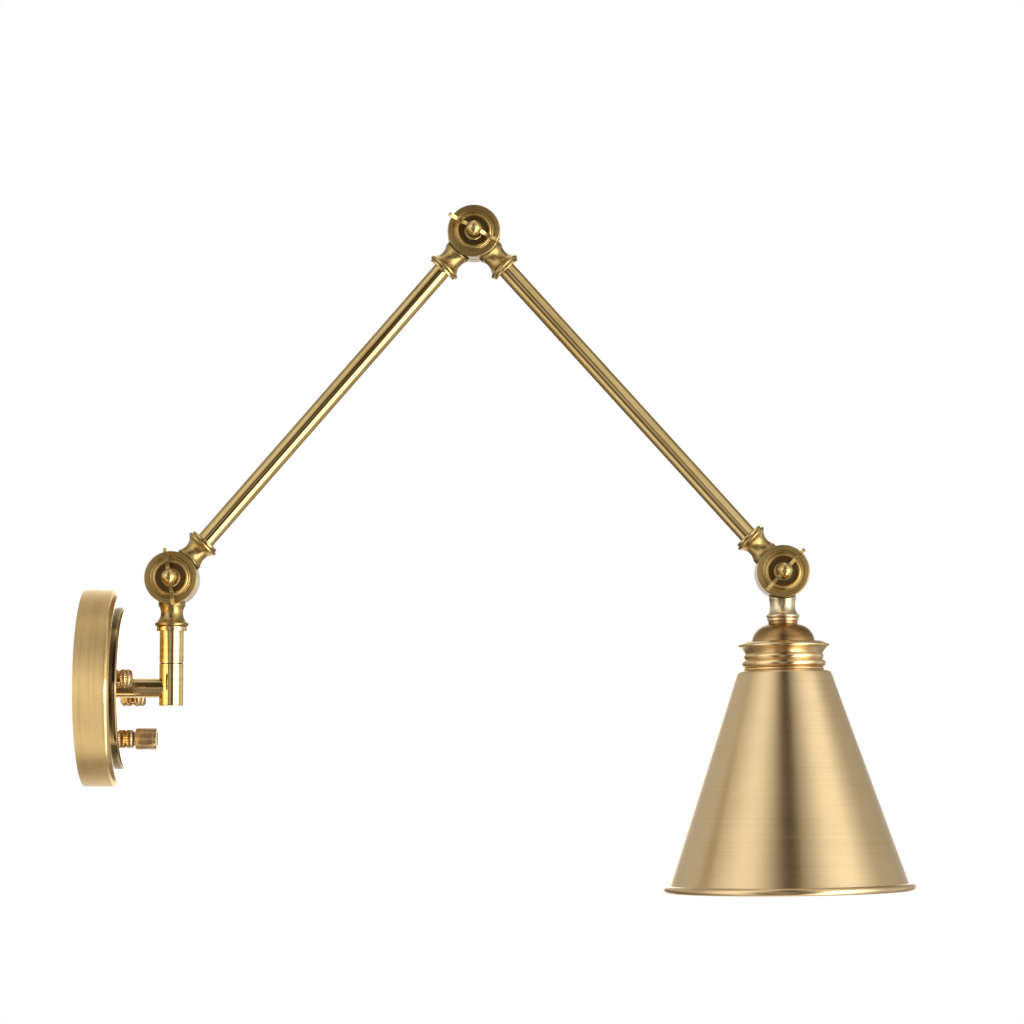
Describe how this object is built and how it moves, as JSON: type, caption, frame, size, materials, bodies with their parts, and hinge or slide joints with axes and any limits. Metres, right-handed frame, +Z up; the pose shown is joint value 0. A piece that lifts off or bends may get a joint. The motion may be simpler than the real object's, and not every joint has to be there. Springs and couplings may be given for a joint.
{
  "type": "articulating wall lamp",
  "caption": "Swing-arm wall lamp: round canopy, swivelling stem, jointed tube arms with wing-screw knuckles and a tilting cone shade.",
  "frame": {"origin": "centre of the canopy's back, on the wall plane", "axes": "+X straight out of the wall, +Y level along the wall (away from the wing screws), +Z up"},
  "size_m": [0.5058, 0.1546, 0.422],
  "materials": {
    "antique_brass": "satin, aged, brushed",
    "polished_brass": "polished, warm, aged",
    "shade_brass": "satin, finely brushed round the axis",
    "dark_bronze": "glossy dark bronze",
    "zinc_steel": "zinc plated, dull",
    "spring_steel": "dark spring steel",
    "fibre": "pressed fibre, matt black",
    "phenolic": "moulded phenolic, dull black",
    "porcelain": "unglazed porcelain",
    "contact_brass": "plain bright brass"
  },
  "bodies": {
    "base": {"wall_bracket": "zinc_steel", "bracket_studs": "zinc_steel", "ground_screw": "contact_brass", "canopy": "antique_brass", "canopy_nuts": "polished_brass", "canopy_nipple": "zinc_steel", "nipple_washer": "spring_steel", "nipple_nut": "zinc_steel", "wall_stem": "polished_brass", "pivot_nipple": "zinc_steel", "pivot_socket": "antique_brass", "pivot_plug": "antique_brass", "swivel_washer": "fibre", "switch_body": "phenolic", "switch_nut": "polished_brass"},
    "knob": {"switch_shaft": "contact_brass", "switch_knob": "antique_brass"},
    "turret": {"swivel_pin": "zinc_steel", "retaining_clip": "spring_steel", "swivel_post": "antique_brass", "stem_collar": "antique_brass", "lower_knuckle_front": "antique_brass", "lower_cup_washer": "antique_brass", "lower_friction_washer": "fibre"},
    "lower_arm": {"lower_knuckle_rear": "antique_brass", "lower_arm_foot_collar": "antique_brass", "lower_arm_tube": "antique_brass", "lower_arm_top_collar": "antique_brass", "middle_knuckle_rear": "antique_brass"},
    "upper_arm": {"middle_knuckle_front": "antique_brass", "middle_cup_washer": "antique_brass", "middle_friction_washer": "fibre", "upper_arm_top_collar": "antique_brass", "upper_arm_tube": "antique_brass", "upper_arm_end_collar": "antique_brass", "end_knuckle_front": "antique_brass", "end_cup_washer": "antique_brass", "end_friction_washer": "fibre"},
    "head": {"end_knuckle_rear": "antique_brass", "head_collar": "antique_brass", "head_nipple": "zinc_steel", "dome_cap": "dark_bronze", "shade_fitter": "shade_brass", "shade": "shade_brass", "holder_body": "phenolic", "holder_nut": "zinc_steel", "contact_carrier": "porcelain", "screw_shell": "contact_brass", "centre_contact": "contact_brass", "shade_ring": "phenolic"},
    "lower_screw": {"lower_wing_screw": "antique_brass"},
    "middle_screw": {"middle_wing_screw": "antique_brass"},
    "end_screw": {"end_wing_screw": "antique_brass"}
  },
  "joints": [
    {"name": "swivel", "type": "hinge", "parent": "base", "child": "turret", "pos_m": [0.052, 0, 0.0145], "axis": [0, 0, 1], "range_deg": [-90, 90]},
    {"name": "lower_knuckle", "type": "hinge", "parent": "turret", "child": "lower_arm", "pos_m": [0.052, 0, 0.067], "axis": [0, -1, 0], "range_deg": [-49, 46]},
    {"name": "middle_knuckle", "type": "hinge", "parent": "lower_arm", "child": "upper_arm", "pos_m": [0.23641, 0, 0.28101], "axis": [0, -1, 0], "range_deg": [-18.3, 97.2]},
    {"name": "head_tilt", "type": "hinge", "parent": "upper_arm", "child": "head", "pos_m": [0.42562, 0, 0.07124], "axis": [0, 1, 0], "range_deg": [-100, 73]},
    {"name": "switch_turn", "type": "hinge", "parent": "base", "child": "knob", "pos_m": [0.0306, 0, -0.031], "axis": [1, 0, 0], "continuous": true},
    {"name": "lower_screw_turn", "type": "hinge", "parent": "lower_arm", "child": "lower_screw", "pos_m": [0.052, 0, 0.067], "axis": [0, -1, 0], "range_deg": [0, 180]},
    {"name": "middle_screw_turn", "type": "hinge", "parent": "lower_arm", "child": "middle_screw", "pos_m": [0.23641, 0, 0.28101], "axis": [0, -1, 0], "range_deg": [0, 180]},
    {"name": "end_screw_turn", "type": "hinge", "parent": "head", "child": "end_screw", "pos_m": [0.42562, 0, 0.07124], "axis": [0, -1, 0], "range_deg": [0, 180]}
  ]
}
